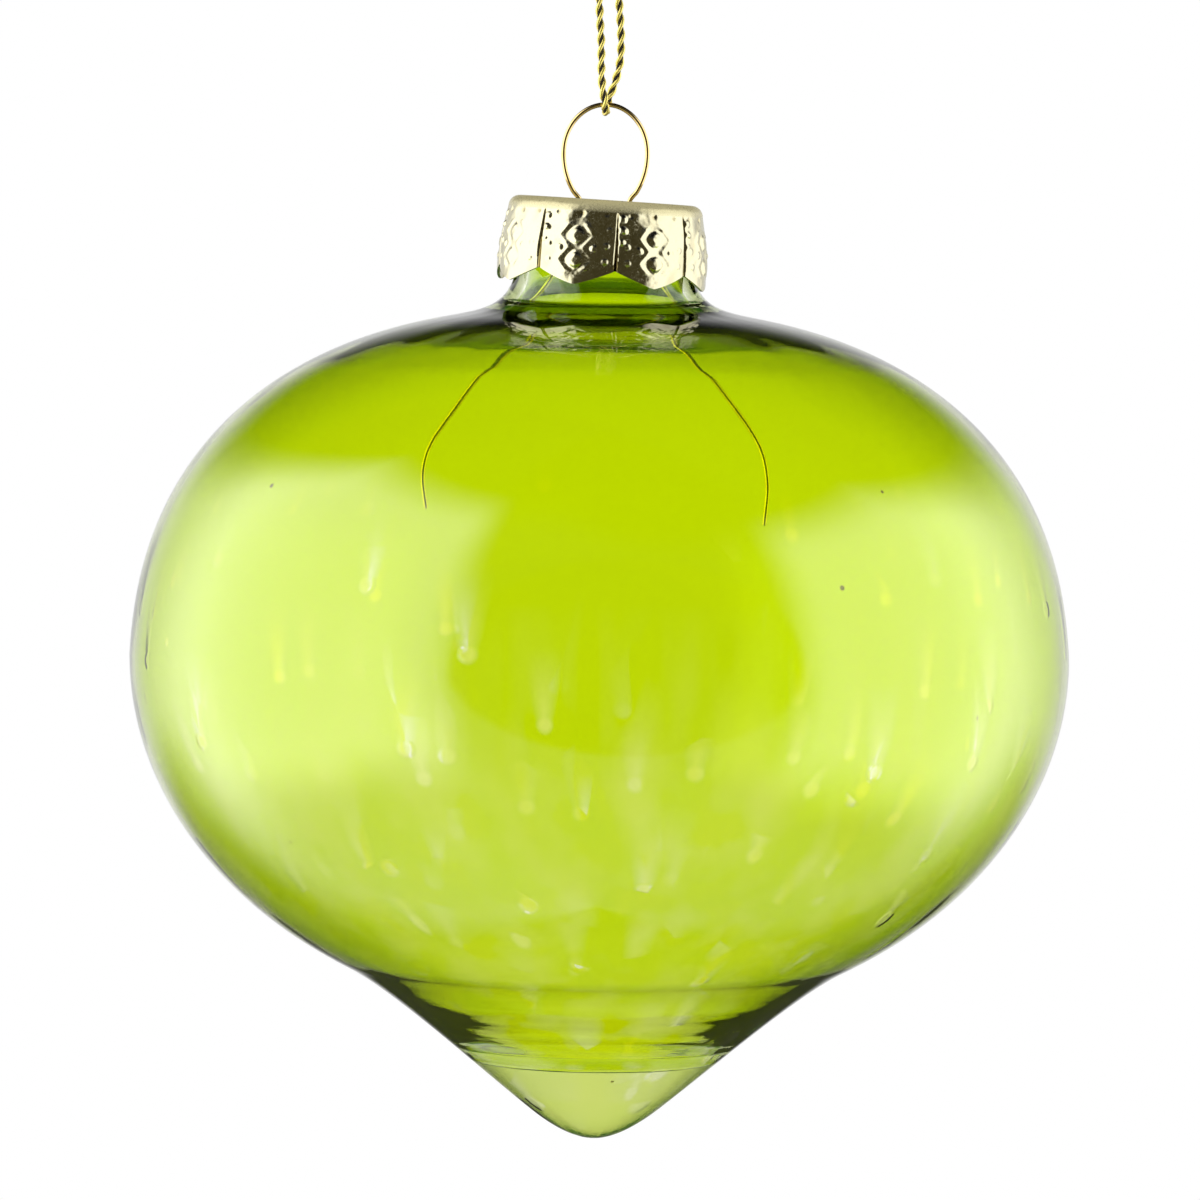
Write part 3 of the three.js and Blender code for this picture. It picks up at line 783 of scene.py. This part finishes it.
# Wire hanger.
WIRE_RADIUS, WIRE_STEP, WIRE_END = 0.25, 0.09, 0.12
RING_HALF, RING_STAND, RING_RISE, RING_FALL, RING_TURN = 4.45, 5.0, 5.15, 6.2, 130
WIRE_ENTRY, WIRE_JOINT, LEG_DROP, LEG_SPREAD = 1.1, 0.3, 1.4, 0.25
LEG_LEFT = [[7.1, 37], [11.7, 31.7], [15.4, 26.8], [18.3, 22.4], [19, 19.4], [18.6, 15.5]]
LEG_RIGHT = [[7.1, 37], [9.6, 32.8], [13.8, 27.1], [16.8, 22.4], [17.6, 18.6], [17.4, 14.1]]
ring_brass = drawn_brass("polished_drawn_brass", "#F3D894", "#C9A052", 0.09)
# Painted light: the legs' brass is paler and brighter than the ring's, though it is the same wire,
# so that they show as lit inside the green glass.
leg_brass_painted_brighter = drawn_brass("drawn_brass", "#FAE3A6", "#CFA850", 0.16)


def wire(name, points, brass, node):
    """A round wire through the points, all of which lie in the plane of the ring."""
    line = even(through(points, 24), WIRE_STEP)
    shell = bar(line, WIRE_RADIUS, 20, (0, 1, 0), WIRE_END)
    return piece(name, [shell], [brass], "hanger", [node])


def hanger_ring_path():
    """An upright ellipse, drawn a little longer below its widest level, from one hole in the cap
    round to the other, and straight down into either hole."""
    turn = np.radians(RING_TURN * np.linspace(-1, 1, 15))
    rise = np.where(np.cos(turn) > 0, RING_RISE, RING_FALL)
    ring = np.stack([
        RING_HALF * np.sin(turn), 0 * turn, CAP_TOP + RING_STAND + rise * np.cos(turn)], axis=1)
    down = np.array([[WIRE_SPACING, 0, CAP_TOP], [WIRE_SPACING, 0, CAP_TOP - WIRE_ENTRY]])
    return np.concatenate([down[::-1] * [-1, 1, 1], ring, down])


wire("spring_wire_ring", hanger_ring_path(), ring_brass, "hanger_ring")
for way, leg_path, node in ((-1, LEG_LEFT, "hanger_leg_left"), (1, LEG_RIGHT, "hanger_leg_right")):
    top = CAP_TOP - WIRE_ENTRY - WIRE_JOINT
    leg_points = [
        [way * WIRE_SPACING, 0, top], [way * (WIRE_SPACING + LEG_SPREAD), 0, top - LEG_DROP]]
    leg_points += [[way * out, 0, height] for out, height in leg_path]
    leg = wire("spring_wire_" + node[7:], leg_points, leg_brass_painted_brighter, node)
    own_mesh(leg)


# Floor, well under the hanging ornament, and the light of a plain white tent.
FLOOR_HEIGHT, FLOOR_RADIUS = -0.40, 0.4
PAPER_GLOW, PAPER_GLOW_THROUGH_GLASS = 0.36, 0.08  # the second is added to the first


def floor_paper():
    """Matt white paper. Seen directly or through glass it gets a little light of its own, so that
    it comes out as white as the backdrop, and it keeps its shadows. Mirrors don't show it: there
    the tent's table takes its place."""
    material, tree = new_material("matt_white_paper")
    path = add(tree, "ShaderNodeLightPath")
    fibres = noise(tree, object_place(tree), 3 * MM, 2.0)
    paper = add(tree, "ShaderNodeBsdfDiffuse", {"Color": tint(tree, fibres, "#D3D3D3", "#CFCFCE")})
    seen = calc(tree, "MAXIMUM", path["Is Camera Ray"], path["Is Transmission Ray"])
    straight = calc(tree, "LESS_THAN", path["Glossy Depth"], 0.5)
    plain = calc(tree, "MULTIPLY", seen, straight)
    lift = calc(tree, "MULTIPLY_ADD", path["Is Transmission Ray"], PAPER_GLOW_THROUGH_GLASS,
                PAPER_GLOW)
    glow = add(tree, "ShaderNodeEmission", {"Strength": calc(tree, "MULTIPLY", plain, lift)})
    both = add(tree, "ShaderNodeAddShader", {0: paper["BSDF"], 1: glow["Emission"]})["Shader"]
    clear = add(tree, "ShaderNodeBsdfTransparent")["BSDF"]
    mirrored = calc(tree, "SUBTRACT", 1.0, straight)
    shader = add(tree, "ShaderNodeMixShader", {0: mirrored, 1: both, 2: clear})["Shader"]
    add(tree, "ShaderNodeOutputMaterial", {"Surface": shader})
    return material


bpy.ops.mesh.primitive_circle_add(
    vertices=96, radius=FLOOR_RADIUS, fill_type="NGON", location=(0, 0, FLOOR_HEIGHT))
floor = bpy.context.object
floor.name = "floor"
floor.data.materials.append(floor_paper())


def tent_walls(tree, turn, above, aside):
    """How bright the tent is: two lights, of which the left one is brighter and taller, that fade
    towards the back, a dark roof over them, a dark front with the opening for the camera, and a
    table. All angles are in degrees: round from the camera and positive to the right, above the
    horizon, and to either side. Returned with where the opening is."""
    mouth_turn, mouth_rise, mouth_half_width, mouth_half_height = 7.0, 4.0, 43.0, 34.0
    off_mouth = calc(tree, "SUBTRACT", turn, mouth_turn)
    gain = eased(tree, turn, -20.0, 20.0, 2.1, 1.75)
    height = eased(tree, turn, -20.0, 20.0, 53.0, 43.0)
    fade = eased(tree, aside, 112.0, 145.0, 1.0, eased(tree, turn, -20.0, 20.0, 0.4, 0.45))
    lights = calc(tree, "MULTIPLY", gain, fade)
    edge = between(tree, ramp(tree, aside, 95.0, 150.0), height, 17.0)
    over = calc(tree, "SUBTRACT", above, edge)
    lit = between(tree, eased(tree, over, -9.0, 7.0), lights, 0.01)
    # The opening is an ellipse, where the squares of both shares sum to one.
    wide = calc(tree, "DIVIDE", off_mouth, mouth_half_width)
    mouth_aside = calc(tree, "ABSOLUTE", off_mouth)
    tall = calc(tree, "DIVIDE", calc(tree, "SUBTRACT", above, mouth_rise), mouth_half_height)
    wide_part = calc(tree, "MULTIPLY", wide, wide)
    far = calc(tree, "ADD", wide_part, calc(tree, "MULTIPLY", tall, tall))
    front = eased(tree, mouth_aside, 37.0, 52.0, eased(tree, above, -4.0, -20.0, 0.02, 0.17))
    shaded = calc(tree, "MULTIPLY", lit, front)
    opening = eased(tree, far, 1.1, 0.9)
    open_dark = between(tree, opening, shaded, 0.06)
    table_share = eased(tree, above, -22.0, -46.0)
    table = eased(tree, turn, -60.0, -20.0, 0.65, 0.4)
    return between(tree, table_share, open_dark, table), opening


def tent_light():
    """White for what is seen directly or through the glass, and plain white light on dull
    surfaces. What is mirrored is a light tent: bright sides, a white back, a dark roof, a pale
    table below, and the dark round opening that the camera looks through."""
    world = bpy.data.worlds.new("light_tent")
    bpy.context.scene.world = world
    world.use_nodes = True
    tree = world.node_tree
    tree.nodes.clear()
    way = split(tree, add(tree, "ShaderNodeTexCoord")["Generated"])
    turn = calc(tree, "ARCTAN2", way["X"], calc(tree, "MULTIPLY", way["Y"], -1.0))
    rise = calc(tree, "ARCSINE", way["Z"])
    turn = calc(tree, "DEGREES", turn)
    above = calc(tree, "DEGREES", rise)
    aside = calc(tree, "ABSOLUTE", turn)
    tent, opening = tent_walls(tree, turn, above, aside)
    path = add(tree, "ShaderNodeLightPath")
    mirrored = calc(tree, "GREATER_THAN", path["Glossy Depth"], 0.5)
    # What is mirrored inside the glass has gone through the lacquer twice, and the light that
    # leaves it downwards through the thick ring above the point is dark green.
    within = calc(tree, "GREATER_THAN", path["Transmission Depth"], 0.5)
    inner = calc(tree, "MULTIPLY", within, mirrored)
    back = eased(tree, aside, 118.0, 150.0)
    upper = tint(tree, eased(tree, above, -14.0, -28.0), "#E8F2B4", "#44751A")
    film = tint(tree, eased(tree, above, -34.0, -54.0), upper, "#DDEB62")
    tinted = calc(tree, "MULTIPLY", inner, back)
    # The room beyond the opening is warm.
    beyond = calc(tree, "MULTIPLY", opening, mirrored)
    room = tint(tree, beyond, (1.0, 1.0, 1.0, 1.0), (1.0, 0.86, 0.4, 1.0))
    colour = tint(tree, tinted, room, film)
    # Behind the ornament and below it, nothing bright stands that its outside could mirror.
    low_back = calc(tree, "MULTIPLY", back, eased(tree, above, -15.0, -28.0, 0.0, 0.92))
    under_back = calc(tree, "MULTIPLY", back, eased(tree, above, -9.0, -19.0, 0.0, 0.96))
    outside = calc(tree, "SUBTRACT", 1.0, within)
    darker = between(tree, calc(tree, "MULTIPLY", under_back, outside), tent, 0.0)
    low_inner = calc(tree, "MULTIPLY", low_back, within)
    shown = between(tree, low_inner, darker, 0.95)
    strength = between(tree, mirrored, 1.0, shown)
    bright = add(tree, "ShaderNodeVectorMath", {0: colour, "Scale": strength}, operation="SCALE")
    # Light that wanders inside the glass comes out dark green wherever it goes.
    least = add(tree, "ShaderNodeVectorMath", {0: linear("#2C6410")[:3], "Scale": inner},
                operation="SCALE")
    seen = vector(tree, "MAXIMUM", bright["Vector"], least["Vector"])
    light = add(tree, "ShaderNodeBackground", {"Color": seen, "Strength": 1.0})["Background"]
    add(tree, "ShaderNodeOutputWorld", {"Surface": light})


tent_light()
bpy.context.scene.view_settings.view_transform = "Standard"

bpy.context.view_layer.update()
